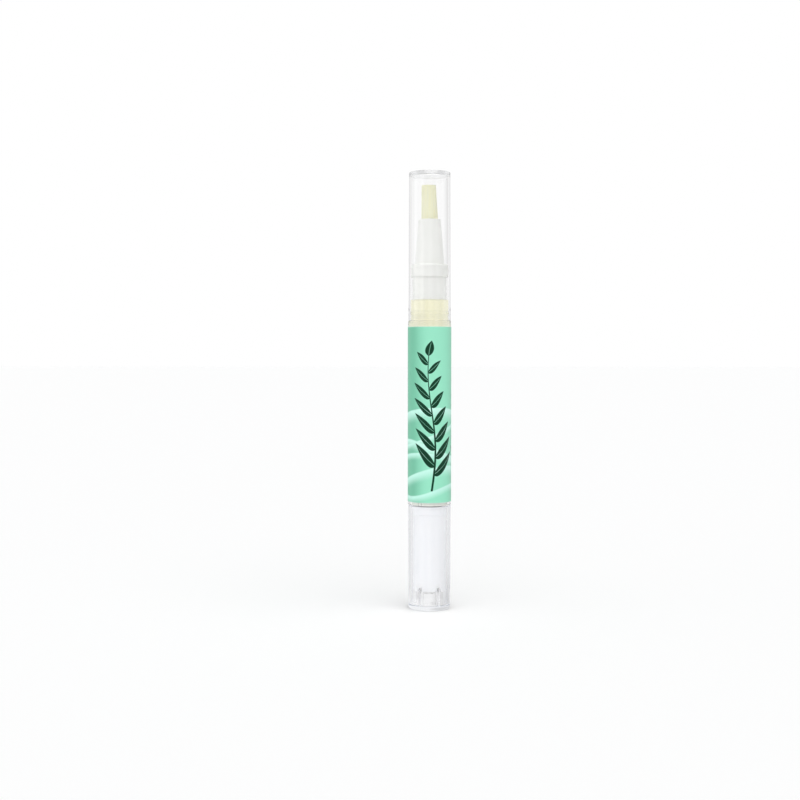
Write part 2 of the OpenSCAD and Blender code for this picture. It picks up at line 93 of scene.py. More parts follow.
# %% [markdown]
# ## A lathe for turned parts
# Almost every piece of a pen is turned or moulded round one axis. The quickest true way to
# make such a piece is the lathe: draw half of the section as a chain of points, and spin it
# once round the axis. The helper below does that with bmesh, merges the seam and the poles,
# and makes the faces point outwards. Another rounds chosen edge loops with a bevel, as a
# mould maker's radius would.
#
# A rounded edge beside a long wall has a catch. Smooth shading averages the normals of the
# faces that meet at a corner, and the wall then seems to bend all the way along. On glass
# that traps light and turns it black. The Weighted Normal modifier lets the largest face
# decide, so the wall stays straight and only the small round carries the bend.

# %% Spin an outline and round its edges
SPIN_STEPS = 360
SAME_POINT, ON_LOOP, ON_WALL = 0.0005, 0.002, 0.004  # how near counts as there, in mm


def spin_outline(outline, closed, steps=SPIN_STEPS):
    """A bmesh of an outline of (radius, height) points, in mm, spun once round the axis."""
    bm = bmesh.new()
    points = [bm.verts.new((radius * MM, 0, height * MM)) for radius, height in outline]
    line = [bm.edges.new(pair) for pair in zip(points, points[1:])]
    if closed:
        line.append(bm.edges.new((points[-1], points[0])))
    bmesh.ops.spin(bm, geom=points + line, cent=(0, 0, 0), axis=AXIS, angle=2 * pi,
                   steps=steps, use_merge=True, use_duplicate=False)
    bmesh.ops.remove_doubles(bm, verts=bm.verts, dist=SAME_POINT * MM)
    bmesh.ops.recalc_face_normals(bm, faces=bm.faces)
    return bm


def round_edges(bm, edges, bend, segments):
    """Rounds edges with a bend of that radius, in mm."""
    bmesh.ops.bevel(bm, geom=edges, offset=bend * MM, segments=segments, profile=0.5,
                    affect="EDGES", material=-1)


def round_loop(bm, radius, height, bend, segments):
    """Rounds the edge loop at that radius and height with a bend of that radius, all in mm."""
    def on_loop(vert):
        return (abs(vert.co.z - height * MM) < ON_LOOP * MM
                and abs(vert.co.xy.length - radius * MM) < ON_LOOP * MM)

    round_edges(bm, [edge for edge in bm.edges if all(on_loop(vert) for vert in edge.verts)],
                bend, segments)


# %% Turn a bmesh into a piece of the pen
def mesh_from(bm, name):
    """Writes a bmesh to a new mesh, and lets the bmesh go."""
    mesh = bpy.data.meshes.new(name)
    bm.to_mesh(mesh)
    bm.free()
    return mesh


def add_object(name, data):
    """Puts a mesh, a lamp or the camera into the scene."""
    item = bpy.data.objects.new(name, data)
    bpy.context.scene.collection.objects.link(item)
    return item


def finish_piece(bm, name, body, node, sharp=35):
    """Makes a smooth-shaded object that rides on a body, and stands for a node if it has one."""
    open_edges = sum(not edge.is_manifold for edge in bm.edges)
    bmesh.ops.recalc_face_normals(bm, faces=bm.faces)
    mesh = mesh_from(bm, name)
    mesh.shade_smooth()
    mesh.set_sharp_from_angle(angle=radians(sharp))
    piece = add_object(name, mesh)
    piece.modifiers.new("straight_walls", "WEIGHTED_NORMAL").keep_sharp = True
    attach(piece, body)
    if node:
        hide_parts(node)
    print(f"{name}: {len(mesh.polygons)} faces, {open_edges} open edges")
    return piece


# %% [markdown]
# ## The knob
# The twist knob is a deep clear cup with a thick floor, moulded in one shot. Its outside
# tapers a little towards the base so that it leaves the mould, and six short ribs in its
# foot carry and key the milky sleeve. The cup is spun. A rib could be a box laid into the
# cup, but two overlapping solids of clear plastic show a false wall between them. So each
# rib is drawn out of the cup's own skin: a patch of the floor is extruded up beside the
# wall, and the wall behind it is taken away. Cup and ribs stay one closed skin.

# %% Spin the knob's cup
KNOB_BASE_R, KNOB_TOP_R, KNOB_BORE_R = 6.2, 6.35, 5.25
KNOB_FLOOR, FLOOR_BEND = 1.5, 0.35
RIB_COUNT, RIB_TOP, RIB_TIP_R, RIB_HALF_ANGLE = 6, 6.8, 3.95, radians(5)
BASE_ROUND, RIM_ROUND, INNER_RIM_ROUND, RIB_ROUND = 0.45, 0.12, 0.1, 0.2

floor_curve = [(KNOB_BORE_R - FLOOR_BEND * (1 - cos(radians(turn))),
                KNOB_FLOOR + FLOOR_BEND * (1 - sin(radians(turn))))
               for turn in range(0, 91, 18)]
knob_mesh = spin_outline([(0, 0), (KNOB_BASE_R, 0), (KNOB_TOP_R, KNOB_TOP),
                          (KNOB_BORE_R, KNOB_TOP), (KNOB_BORE_R, RIB_TOP)] + floor_curve
                         + [(RIB_TIP_R, KNOB_FLOOR), (0, KNOB_FLOOR)], closed=False)

# %% Raise the knob's ribs
RING_REACH = 0.4  # how far from a rib's foot its ring of faces may lie, in mm
CORNER_TURN = 0.7  # the turn of the skin, in radians, that makes an edge a rib's corner


def raise_rib(bm, angle, half_angle, tip_radius, wall_radius, foot, top, bend=0):
    """Draws a rib out of the skin, from a ring of faces at its foot along the wall to its top."""
    to_front = Matrix.Rotation(-angle, 4, "Z")

    def aside(point):
        turned = to_front @ point
        return abs(atan2(turned.y, turned.x))

    def near(length, target):
        return abs(length - target * MM) < ON_WALL * MM

    middles = [(face, face.calc_center_median()) for face in bm.faces]
    ring = [face for face, middle in middles if aside(middle) < half_angle
            and abs(middle.z - foot * MM) < RING_REACH * MM
            and tip_radius * MM < middle.xy.length < (wall_radius - ON_LOOP) * MM]
    made = bmesh.ops.extrude_face_region(bm, geom=ring)["geom"]
    bmesh.ops.delete(bm, geom=ring, context="FACES")
    for item in made:
        if isinstance(item, bmesh.types.BMVert):
            item.co.z = top * MM
    bmesh.ops.remove_doubles(bm, verts=bm.verts, dist=SAME_POINT * MM)
    lowest, highest = sorted((foot * MM, top * MM))
    behind = [face for face in bm.faces if aside(face.calc_center_median()) < half_angle
              and lowest < face.calc_center_median().z < highest
              and all(near(vert.co.xy.length, wall_radius) for vert in face.verts)]
    bmesh.ops.delete(bm, geom=behind, context="FACES")
    if bend:
        round_edges(bm, [
            edge for edge in bm.edges
            if edge.is_manifold and edge.calc_face_angle() > CORNER_TURN
            and all(aside(vert.co) < half_angle * 1.05 and near(vert.co.xy.length, tip_radius)
                    for vert in edge.verts)
            and not all(near(vert.co.z, foot) for vert in edge.verts)], bend, 3)
    return len(ring), len(behind)


for rib in range(RIB_COUNT):
    taken = raise_rib(knob_mesh, 2 * pi * rib / RIB_COUNT, RIB_HALF_ANGLE, RIB_TIP_R,
                      KNOB_BORE_R, KNOB_FLOOR, RIB_TOP, RIB_ROUND)
print("faces raised and taken away for each rib:", taken)
round_loop(knob_mesh, KNOB_BASE_R, 0, BASE_ROUND, 6)
round_loop(knob_mesh, KNOB_TOP_R, KNOB_TOP, RIM_ROUND, 3)
round_loop(knob_mesh, KNOB_BORE_R, KNOB_TOP, INNER_RIM_ROUND, 2)
clear_knob = finish_piece(knob_mesh, "clear_knob", "knob", "knob")

# %% [markdown]
# ## The barrel
# The barrel is a clear tube with a sloped shoulder, a thinner neck and a fine ring on the
# neck that grips the cap. Its lower end is bored out for the nut and the ratchet ring, and
# three low keys in that socket stop them from turning. It is spun too, and the keys are
# drawn out of its skin as the knob's ribs are. The cap's seat has only a hair of a round,
# because a wide one gathers light into a dark line.

# %% Spin the barrel
BARREL_R, BORE_R, SOCKET_R, SEAT_R, NECK_R = 6.4, 5.1, 5.4, 6.3, 5.65
SHOULDER_FOOT, SEAT, SOCKET_TOP = 84.3, 86.1, 48.6
KEY_COUNT, KEY_TIP_R, KEY_HALF_ANGLE = 3, 5.2, radians(5.2)
GRIP_MIDDLE, GRIP_H, GRIP_OUT = 88.5, 1.1, 0.1
SEAT_ROUND = 0.05
grip_ring = [(NECK_R + GRIP_OUT * sin(radians(turn)) ** 2,
              GRIP_MIDDLE + GRIP_H * (turn / 180 - 0.5)) for turn in range(0, 181, 15)]

barrel_mesh = spin_outline([
    (SOCKET_R, BARREL_FOOT), (BARREL_R, BARREL_FOOT), (BARREL_R, SHOULDER_FOOT),
    (SEAT_R, SEAT), (NECK_R, SEAT)] + grip_ring + [(NECK_R, NECK_TOP),
    (BORE_R, NECK_TOP), (BORE_R, SOCKET_TOP), (KEY_TIP_R, SOCKET_TOP),
    (SOCKET_R, SOCKET_TOP)], closed=True)
for key in range(KEY_COUNT):
    raise_rib(barrel_mesh, 2 * pi * key / KEY_COUNT, KEY_HALF_ANGLE, KEY_TIP_R, SOCKET_R,
              SOCKET_TOP, BARREL_FOOT)
round_loop(barrel_mesh, BARREL_R, BARREL_FOOT, RIM_ROUND, 3)
round_loop(barrel_mesh, SEAT_R, SEAT, SEAT_ROUND, 2)
clear_barrel = finish_piece(barrel_mesh, "clear_barrel", "barrel", "barrel")

# %% [markdown]
# ## The cap
# The cap is a thin clear tube with a thick rounded end. Its wall draws in a little towards
# the end, and a shallow groove inside snaps over the neck's ring. The thick end shows as
# two or three fine lines when it is seen from the side, so its inside corner is rounded too.

# %% Spin the cap
CAP_RIM_R, CAP_TOP_R, CAP_BORE_R, CAP_CEILING_R = 6.3, 6.15, 5.8, 5.65
CAP_CEILING = 128.8
SNAP_GROOVE = [(5.795, 90.0), (5.9, 89.4), (5.9, 87.6), (5.799, 87.2)]
END_ROUND, CEILING_ROUND = 0.3, 0.2

cap_mesh = spin_outline([
    (CAP_BORE_R, CAP_RIM), (CAP_RIM_R, CAP_RIM), (CAP_TOP_R, CAP_TOP), (0, CAP_TOP),
    (0, CAP_CEILING), (CAP_CEILING_R, CAP_CEILING)] + SNAP_GROOVE, closed=True)
round_loop(cap_mesh, CAP_TOP_R, CAP_TOP, END_ROUND, 5)
round_loop(cap_mesh, CAP_CEILING_R, CAP_CEILING, CEILING_ROUND, 4)
round_loop(cap_mesh, CAP_RIM_R, CAP_RIM, RIM_ROUND, 3)
clear_cap = finish_piece(cap_mesh, "clear_cap", "cap", "cap")

# %% [markdown]
# ## The ferrule
# One white moulding makes the hollow plug that seals the neck with two soft beads, the
# flange that sits on it with a fine groove round it, and the cone that holds the brush.
# It is seated a hair into the neck's rim and into the oil, because faces of white and clear
# plastic that only touch show a false dark line.

# %% Spin the ferrule
PLUG_R, PLUG_BORE_R, BEAD_R, BEAD_H = 5.05, 4.1, 5.08, 0.6
FLANGE_R, FLANGE_TOP, FLANGE_SLOPE = 5.68, 102.75, 0.3
GROOVE, GROOVE_H, GROOVE_DEPTH = 101.45, 0.25, 0.12
CONE_FOOT_R, CONE_TIP_R, CONE_BORE_R, MOUTH_BORE_R = 4.375, 3.3, 3.1, 2.75
CONE_BORE_FOOT, CONE_BORE_TOP = 100.2, 107.6
SEATING = 0.02


def bead(share):
    """The four points of one sealing bead, from its lower edge up, at a share of the plug."""
    height = PLUG_FOOT + share * (NECK_TOP - PLUG_FOOT)
    return [(PLUG_R, height - BEAD_H / 2), (BEAD_R, height - BEAD_H / 4),
            (BEAD_R, height + BEAD_H / 4), (PLUG_R, height + BEAD_H / 2)]


groove_foot, groove_top = GROOVE - GROOVE_H / 2, GROOVE + GROOVE_H / 2
ferrule_mesh = spin_outline(
    [(PLUG_BORE_R, PLUG_FOOT - SEATING), (PLUG_R, PLUG_FOOT - SEATING)] + bead(0.25) + bead(0.7)
    + [(PLUG_R, NECK_TOP - SEATING), (FLANGE_R, NECK_TOP - SEATING), (FLANGE_R, groove_foot),
       (FLANGE_R - GROOVE_DEPTH, groove_foot), (FLANGE_R - GROOVE_DEPTH, groove_top),
       (FLANGE_R, groove_top), (FLANGE_R, FLANGE_TOP - FLANGE_SLOPE),
       (FLANGE_R - FLANGE_SLOPE, FLANGE_TOP), (CONE_FOOT_R, FLANGE_TOP), (CONE_TIP_R, MOUTH),
       (MOUTH_BORE_R, MOUTH), (MOUTH_BORE_R, CONE_BORE_TOP), (CONE_BORE_R, CONE_BORE_TOP),
       (CONE_BORE_R, CONE_BORE_FOOT), (PLUG_BORE_R, CONE_BORE_FOOT)], closed=True)
round_loop(ferrule_mesh, CONE_FOOT_R, FLANGE_TOP, 0.25, 3)
round_loop(ferrule_mesh, CONE_TIP_R, MOUTH, 0.12, 3)
round_loop(ferrule_mesh, MOUTH_BORE_R, MOUTH, 0.1, 2)
white_ferrule = finish_piece(ferrule_mesh, "white_ferrule", "barrel", "brush_ferrule",
                             sharp=25)

# %% [markdown]
# ## The label
# The label is a printed film, 0.07 mm thick, wrapped round the barrel until its two ends
# nearly meet at the back. A plain tube would hide that seam, so the film's section is spun
# through a little less than a full turn, and the two cut ends are closed.

# %% Wrap the label
FILM_IN_R, FILM_OUT_R = 6.42, 6.49
SEAM_ANGLE = radians(118)
SEAM_GAP = 0.15 / FILM_OUT_R
FILM_STEPS = 176
LABEL_FOOT, LABEL_TOP = low("label"), high("label")

film = bmesh.new()
cut_end = [film.verts.new((radius * MM, 0, height * MM)) for radius, height in (
    (FILM_IN_R, LABEL_FOOT), (FILM_OUT_R, LABEL_FOOT), (FILM_OUT_R, LABEL_TOP),
    (FILM_IN_R, LABEL_TOP))]
end_face = film.faces.new(cut_end)
bmesh.ops.rotate(film, verts=cut_end, cent=(0, 0, 0),
                 matrix=Matrix.Rotation(SEAM_ANGLE + SEAM_GAP / 2, 3, "Z"))
bmesh.ops.spin(film, geom=[end_face] + list(end_face.edges) + cut_end, cent=(0, 0, 0),
               axis=AXIS, angle=2 * pi - SEAM_GAP, steps=FILM_STEPS, use_duplicate=False)
mint_label = finish_piece(film, "mint_label", "barrel", "label")

# %% [markdown]
# ## The oil
# The oil fills the barrel between the piston and the plug. In Blender a liquid must overlap
# the wall that holds it by a hair. With a gap, light would see air between them, and the
# yellow would stop short of the wall. With the overlap the wall magnifies the oil until it
# fills the neck from side to side, as in a real thick-walled tube. In the pen the column
# shortens towards the plug as the piston rises, to a thin disc. Here it is spun at rest, and
# gets a mesh of its own.

# %% Pour the oil
OIL_FOOT, OIL_TOP = low("oil"), high("oil")
OIL_R = BORE_R + 0.03
oil_mesh = spin_outline([(0, OIL_FOOT), (OIL_R, OIL_FOOT), (OIL_R, OIL_TOP), (0, OIL_TOP)],
                        closed=False)
oil_column = finish_piece(oil_mesh, "oil_column", "barrel", "oil")
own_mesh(oil_column)

# %% [markdown]
# ## The brush
# The brush is a round bundle of fine nylon bristles, glued at the root, with the feed tube
# in its middle. They stand straight in the ferrule, close in above the end of the tube, and
# are trimmed flat with a slight lean. Particle hair would be the usual choice, but hair
# doesn't export. Here each bristle starts as one small five-sided face, and all of the
# faces are extruded together, level by level, so a few operators draw hundreds of bristles.

# %% Set out the bristles
BRISTLE_PITCH, BRISTLE_R = 0.141, 0.072
FIRST_RING, LAST_RING = 5, 17
BRISTLE_FOOT, TUBE_END, TIP = 107.3, 118.1, high("bristle_tuft")
TIP_SHARE, TIP_LEAN, TIP_THINNING = 0.86, -0.27, 0.18
STRAY, TRIM = 0.035, 0.28
# Heights up the brush, and how far the bristles have closed in and leant at each.
LEVELS = [(MOUTH, 0.0), (TUBE_END, 0.12), (120.6, 0.5), (123.4, 0.8), (TIP, 1.0)]
BUNDLE_IN_R, BUNDLE_OUT_R = FIRST_RING * BRISTLE_PITCH, LAST_RING * BRISTLE_PITCH
picker = random.Random(4)

places = []
for ring in range(FIRST_RING, LAST_RING + 1):
    for step in range(6 * ring):
        turn = radians(60 * (step + ring % 2 / 2) / ring)
        places.append(Vector((cos(turn), sin(turn), 0)) * ring * BRISTLE_PITCH)
print("bristles:", len(places))


# %% Grow the bristles
def closed_in(place, share):
    """Where a bristle stands once the hole over the tube has closed, at a share of the way."""
    inner = BUNDLE_IN_R - BRISTLE_PITCH / 2
    shut = (place.length - inner) / (BUNDLE_OUT_R - inner)
    return place * (1 - share) + place.normalized() * (shut * BUNDLE_OUT_R * TIP_SHARE * share)


brush_mesh = bmesh.new()
for place in places:
    bmesh.ops.create_circle(brush_mesh, cap_ends=True, segments=5, radius=BRISTLE_R * MM,
                            matrix=Matrix.Translation((place + AXIS * BRISTLE_FOOT) * MM))
number = brush_mesh.faces.layers.int.new("bristle")
for index, face in enumerate(brush_mesh.faces):
    face[number] = index

stray = [Vector((picker.uniform(-1, 1), picker.uniform(-1, 1), 0)) * STRAY for _ in places]
trim = [picker.uniform(0, TRIM) for _ in places]
tops = list(brush_mesh.faces)
for height, share in LEVELS:
    tops = bmesh.ops.extrude_discrete_faces(brush_mesh, faces=tops)["faces"]
    for face in tops:
        index = face[number]
        middle = face.calc_center_median()
        target = closed_in(places[index], share) + stray[index] * share
        target.x += TIP_LEAN * share
        target.z = height - trim[index] * (share == 1.0)
        size = (1 - TIP_THINNING * share) ** (1 / len(LEVELS))
        for vert in face.verts:
            vert.co = target * MM + (vert.co - middle) * size

# %% Fuse the roots in a disc
DISC_R, DISC_FOOT, DISC_H = 3.08, 106.4, 1.2
disc = bmesh.ops.create_circle(brush_mesh, cap_ends=True, segments=48, radius=DISC_R * MM,
                               matrix=Matrix.Translation(AXIS * DISC_FOOT * MM))
raised = bmesh.ops.extrude_face_region(brush_mesh, geom=[disc["verts"][0].link_faces[0]])
bmesh.ops.translate(brush_mesh, vec=AXIS * DISC_H * MM, verts=[
    item for item in raised["geom"] if isinstance(item, bmesh.types.BMVert)])
brush = finish_piece(brush_mesh, "brush", "barrel", "bristle_tuft", sharp=60)

# %% [markdown]
# Oil fills the cracks between wet bristles. A plain core, spun and then leant as the bundle
# leans, stands in for that oil. It ends a little below the bristles' tips, leaves room for the
# feed tube, and keeps light from being lost among the threads.

# %% Fill the bundle with oil
CORE_TOP, CORE_BORE_R, CORE_BORE_TOP = TIP - 0.35, 0.62, TUBE_END + 0.1
CORE_R = BUNDLE_OUT_R + 0.015
sides = [(CORE_R * (1 - (1 - TIP_SHARE) * share), height) for height, share in LEVELS[:-1]]
core_mesh = spin_outline(
    [(CORE_BORE_R, BRISTLE_FOOT), (CORE_R, BRISTLE_FOOT)] + sides
    + [(CORE_R * TIP_SHARE, CORE_TOP), (0, CORE_TOP), (0, CORE_BORE_TOP),
       (CORE_BORE_R, CORE_BORE_TOP)], closed=True, steps=96)
for vert in core_mesh.verts:
    height = vert.co.z / MM
    for (start, share), (end, next_share) in zip(LEVELS, LEVELS[1:]):
        if start < height <= end:
            share += (next_share - share) * (height - start) / (end - start)
            vert.co.x += TIP_LEAN * share * MM
wet_core = finish_piece(core_mesh, "wet_core", "barrel", None)

# %% [markdown]
# ## The spindle
# The spindle is a screw with two flats: the nut's thread drives it up, and the sleeve's bore
# holds it by its flats. A screw thread is a spin that also climbs. The outline of one thread
# is spun through many turns and lifted a little at each step, until every turn meets the one
# below. Four planes then cut the bar's two ends and its two flats, and each cut is filled.

# %% Cut the spindle's thread
THREAD_LEAD, CREST_R, ROOT_R, FLAT_Y = 1.5, 2.1, 1.8, 1.6
BAR_FOOT, BAR_TOP = low("spindle"), 49.5
THREAD_FORM = ((ROOT_R, 0.0), (ROOT_R, 0.5), (CREST_R, 0.78), (CREST_R, 1.22),
               (ROOT_R, THREAD_LEAD))
TURN_STEPS = 32
thread_turns = ceil((BAR_TOP - BAR_FOOT) / THREAD_LEAD) + 2

bar = bmesh.new()
thread = [bar.verts.new((radius * MM, 0, (BAR_FOOT - THREAD_LEAD + rise) * MM))
          for radius, rise in THREAD_FORM]
thread_line = [bar.edges.new(pair) for pair in zip(thread, thread[1:])]
bmesh.ops.spin(bar, geom=thread + thread_line, cent=(0, 0, 0), axis=AXIS,
               dvec=AXIS * (THREAD_LEAD / TURN_STEPS * MM), angle=2 * pi * thread_turns,
               steps=TURN_STEPS * thread_turns, use_merge=False, use_duplicate=False)
bmesh.ops.remove_doubles(bar, verts=bar.verts, dist=ON_LOOP * MM)
for point, normal in (((0, 0, BAR_FOOT), (0, 0, -1)), ((0, 0, BAR_TOP), (0, 0, 1)),
                      ((0, FLAT_Y, 0), (0, 1, 0)), ((0, -FLAT_Y, 0), (0, -1, 0))):
    bmesh.ops.bisect_plane(bar, geom=bar.verts[:] + bar.edges[:] + bar.faces[:],
                           plane_co=Vector(point) * MM, plane_no=normal, clear_outer=True)
    bmesh.ops.holes_fill(bar, edges=[edge for edge in bar.edges if edge.is_boundary], sides=0)

# %% Add the spindle's snap head
HEAD_NECK_R, HEAD_R, HEAD_FOOT, HEAD_EDGE, HEAD_TOP = 1.4, 2.0, 51.0, 52.2, high("spindle")
NECK_FOOT = BAR_TOP - 0.2
head = spin_outline([(0, NECK_FOOT), (HEAD_NECK_R, NECK_FOOT), (HEAD_NECK_R, HEAD_FOOT),
                     (HEAD_R, HEAD_FOOT), (HEAD_R, HEAD_EDGE), (HEAD_NECK_R, HEAD_TOP),
                     (0, HEAD_TOP)], closed=False, steps=48)
round_loop(head, HEAD_R, HEAD_EDGE, 0.15, 3)
round_loop(head, HEAD_R, HEAD_FOOT, 0.08, 2)
bar.from_mesh(mesh_from(head, "spindle_head"))
threaded_spindle = finish_piece(bar, "threaded_spindle", "spindle", "spindle")

# %% [markdown]
# ## Helpers for node recipes
# Light, floor and finishes are all node trees. Small helpers add nodes and join them, so
# that the cells below read as recipes. A node takes values and the outputs of other nodes.
# An output knows its tree, so most helpers needn't be told where to work.

# %% Add nodes in one line each
def tone(red, green, blue):
    """A colour given as it looks on screen, 0 to 255, in the linear values Blender uses."""
    def linear(level):
        level /= 255
        return level / 12.92 if level <= 0.04045 else ((level + 0.055) / 1.055) ** 2.4
    return (linear(red), linear(green), linear(blue), 1.0)


def set_inputs(node, inputs):
    """Gives each named input of a node its value, or a link from an output."""
    for key, value in inputs.items():
        if isinstance(value, bpy.types.NodeSocket):
            node.id_data.links.new(value, node.inputs[key])
        else:
            node.inputs[key].default_value = value


def add_node(tree, kind, inputs=None, **settings):
    """Adds one node to a tree, or to the tree of an output, with its settings and inputs."""
    node = tree.id_data.nodes.new("ShaderNode" + kind)
    for key, value in settings.items():
        setattr(node, key, value)
    set_inputs(node, inputs or {})
    return node


def join(kind, inputs, **settings):
    """Adds one node to the tree that its inputs come from."""
    links = [value for value in inputs.values() if isinstance(value, bpy.types.NodeSocket)]
    return add_node(links[0], kind, inputs, **settings)


# %% Calculate with nodes
def calc(operation, *values):
    """One Math node. Gives its output."""
    return join("Math", dict(enumerate(values)), operation=operation).outputs[0]


def strongest(masks):
    """The highest of several masks at each point."""
    best = masks[0]
    for mask in masks[1:]:
        best = calc("MAXIMUM", best, mask)
    return best


def vector_calc(operation, *values):
    """One Vector Math node. Gives its output, a number for a length or a dot product."""
    node = join("VectorMath", dict(enumerate(values)), operation=operation)
    return node.outputs["Value" if operation in ("LENGTH", "DOT_PRODUCT") else "Vector"]


def ramp(value, bottom, top, start=0.0, end=1.0):
    """A smooth step of a value between bottom and top, given as start to end."""
    return join("MapRange", {
        "Value": value, "From Min": bottom, "From Max": top, "To Min": start, "To Max": end},
        interpolation_type="SMOOTHSTEP").outputs["Result"]


def split(place):
    """The X, Y and Z of a place."""
    return join("SeparateXYZ", {"Vector": place}).outputs


def mix_shaders(share, first, second):
    """A shader node between two others, by a share from 0 to 1."""
    return join("MixShader", {"Fac": share, 1: first.outputs[0], 2: second.outputs[0]})


# %% Start a finish and lay it on
def new_finish(name):
    """A material with a Principled shader. Gives it, its shader and a point's place on it."""
    material = bpy.data.materials.new(name)
    material.use_nodes = True
    place = add_node(material.node_tree, "TexCoord").outputs["Object"]
    return material, material.node_tree.nodes["Principled BSDF"], place


def coat(piece, material):
    """Gives a piece its finish."""
    piece.data.materials.append(material)


# %% [markdown]
# ## Light and floor
# The photograph is bright and nearly without shadow: white floor, white background, pale
# edges. A very broad lamp high at the front right, a weak one low at the left, as from a
# white card, and a soft sky that is brighter at the left give that.
#
# Clear plastic shows only what it bends the view to. In an all-white room its edges would
# vanish, so photographers put it in a light tent, whose panels meet in greyer corners. A
# clear wall bends the view sideways at its edge, towards such a corner, and the edge shows
# as a pale grey line. This tent has eight panels round the pen, so it works from any side.
# Only rays that come off or through the plastic meet the tent. The camera sees plain white,
# and the pen is lit at a lower level, at which a colour renders about as it is written.

# %% Plan the light tent
SKY_LEVEL, SKY_TILT = 0.55, (-0.5, -0.2, 0.0)
TENT_PANELS, TENT_TURN = 8, radians(-3)
PANEL_WHITE, CORNER_GREY, CORNER_THROUGH_OIL = 0.96, 0.75, 0.9
WALLS_ONLY, WALLS_AND_OIL = 4.2, 4.8  # how many surfaces a ray has gone through


def tent_level(place):
    """The tent's brightness in the direction of a place: white panels, greyer corners.

    Light that has crossed the oil as well as the walls meets the corners faintly, or the
    round column of oil, which is a strong lens, would show them as stripes."""
    parts = split(place)
    around = calc("ARCTAN2", parts["Y"], parts["X"])
    wave = calc("COSINE", calc("MULTIPLY", calc("ADD", around, TENT_TURN), TENT_PANELS))
    crossed = add_node(place, "LightPath").outputs["Transmission Depth"]
    corner = ramp(crossed, WALLS_ONLY, WALLS_AND_OIL, CORNER_GREY, CORNER_THROUGH_OIL)
    return ramp(wave, -0.6, 0.6, corner, PANEL_WHITE)


def through_plastic(tree):
    """1 for a ray that came off or through the plastic straight from the camera, else 0."""
    path = add_node(tree, "LightPath").outputs
    bent = calc("MAXIMUM", path["Is Transmission Ray"], path["Is Glossy Ray"])
    return calc("MULTIPLY", bent, calc("LESS_THAN", path["Diffuse Depth"], 0.5))


# %% Build the light tent
scene = bpy.context.scene
scene.view_settings.view_transform = "Standard"
world = bpy.data.worlds.new("white_studio")
scene.world = world
world.use_nodes = True
sky_tree = world.node_tree
looking = add_node(sky_tree, "TexCoord").outputs["Generated"]
sky = sky_tree.nodes["Background"]
sky_level = calc("MULTIPLY_ADD", vector_calc("DOT_PRODUCT", looking, SKY_TILT), SKY_LEVEL,
                 SKY_LEVEL)
set_inputs(sky, {"Color": (0.975, 0.985, 1.0, 1), "Strength": sky_level})
tent = join("Background", {"Color": (1, 1, 1, 1), "Strength": tent_level(looking)})
backdrop = add_node(sky_tree, "Background", {"Color": (1, 1, 1, 1), "Strength": 1.0})
lit_or_bent = mix_shaders(through_plastic(sky_tree), sky, tent)
direct = add_node(sky_tree, "LightPath").outputs["Is Camera Ray"]
shown = mix_shaders(direct, lit_or_bent, backdrop)
set_inputs(sky_tree.nodes["World Output"], {"Surface": shown.outputs[0]})


# %% Hang the lamps
def hang_lamp(name, energy, spread, direction):
    """A lamp so far away that only its direction, strength and breadth in degrees matter."""
    data = bpy.data.lights.new(name, "SUN")
    data.energy = energy
    data.angle = radians(spread)
    data.color = (1.0, 0.995, 0.98)
    lamp = add_object(name, data)
    lamp.rotation_euler = Vector(direction).to_track_quat("-Z", "Y").to_euler()
    print(f"{name}: energy {energy}, {spread} degrees broad")


hang_lamp("broad_lamp", 1.5, 65, (-0.22, 0.36, -1.0))
hang_lamp("side_card", 0.25, 60, (1.0, 0.45, -0.15))

# %% [markdown]
# Two of the renderer's shortcuts darken clear plastic. One blurs it for light that has already
# met something matt, which dims all that stands inside the cap and the knob. The other gives
# up on light that runs along inside a wall. Both are relaxed.

# %% Let light through the plastic
BOUNCES = 160
scene.cycles.blur_glossy = 0.0
for limit in ("max_bounces", "glossy_bounces", "transmission_bounces"):
    setattr(scene.cycles, limit, BOUNCES)

# %% [markdown]
# The floor is white and takes the pen's shadow. Seen through the plastic it is part of the
# tent, or the knob's thick floor would show the dark spot that the pen stands on. There it
# glows: white under the pen, at the tent's level further out, and a little less at the right,
# as the grey crescent in the photographed knob shows.

# %% Lay the floor
FLOOR_HALF = 6
UNDER_PEN, PAST_PEN = 6 * MM, 12 * MM
SHADE_NEAR, SHADE_FAR = 30 * MM, 80 * MM
RIGHT_SHADE = -0.25
TENT_ON_FLOOR, FLOOR_GLOW_SHARE = 0.94, 0.92

floor_bm = bmesh.new()
bmesh.ops.create_grid(floor_bm, x_segments=1, y_segments=1, size=FLOOR_HALF)
floor = add_object("floor", mesh_from(floor_bm, "floor"))
floor_finish, floor_shader, spot = new_finish("white_floor")
set_inputs(floor_shader, {"Base Color": (0.99, 0.99, 0.99, 1), "Roughness": 0.9,
                          "Specular IOR Level": 0.0})
coat(floor, floor_finish)

# %% Let the floor glow through the plastic
from_pen = vector_calc("LENGTH", spot)
tent_here = calc("MULTIPLY_ADD", tent_level(spot), TENT_ON_FLOOR, -1.0)
glow = calc("MULTIPLY_ADD", ramp(from_pen, UNDER_PEN, PAST_PEN), tent_here, 1.0)
to_right = split(vector_calc("NORMALIZE", spot))["X"]
shade = ramp(to_right, 0.0, 0.9, 0.0, RIGHT_SHADE)
shade = calc("MULTIPLY_ADD", shade, ramp(from_pen, SHADE_NEAR, SHADE_FAR, 1.0, 0.0), 1.0)
floor_glow = join("Emission", {"Color": (0.985, 0.99, 1.0, 1),
                               "Strength": calc("MULTIPLY", glow, shade)})
glow_share = calc("MULTIPLY", through_plastic(spot), FLOOR_GLOW_SHARE)
floor_mix = mix_shaders(glow_share, floor_shader, floor_glow)
set_inputs(floor_finish.node_tree.nodes["Material Output"], {"Surface": floor_mix.outputs[0]})

# %% [markdown]
# The camera stands level with the upper half of the pen and looks down by two degrees. It
# turns a little to the left, which puts the pen to the right of the middle.

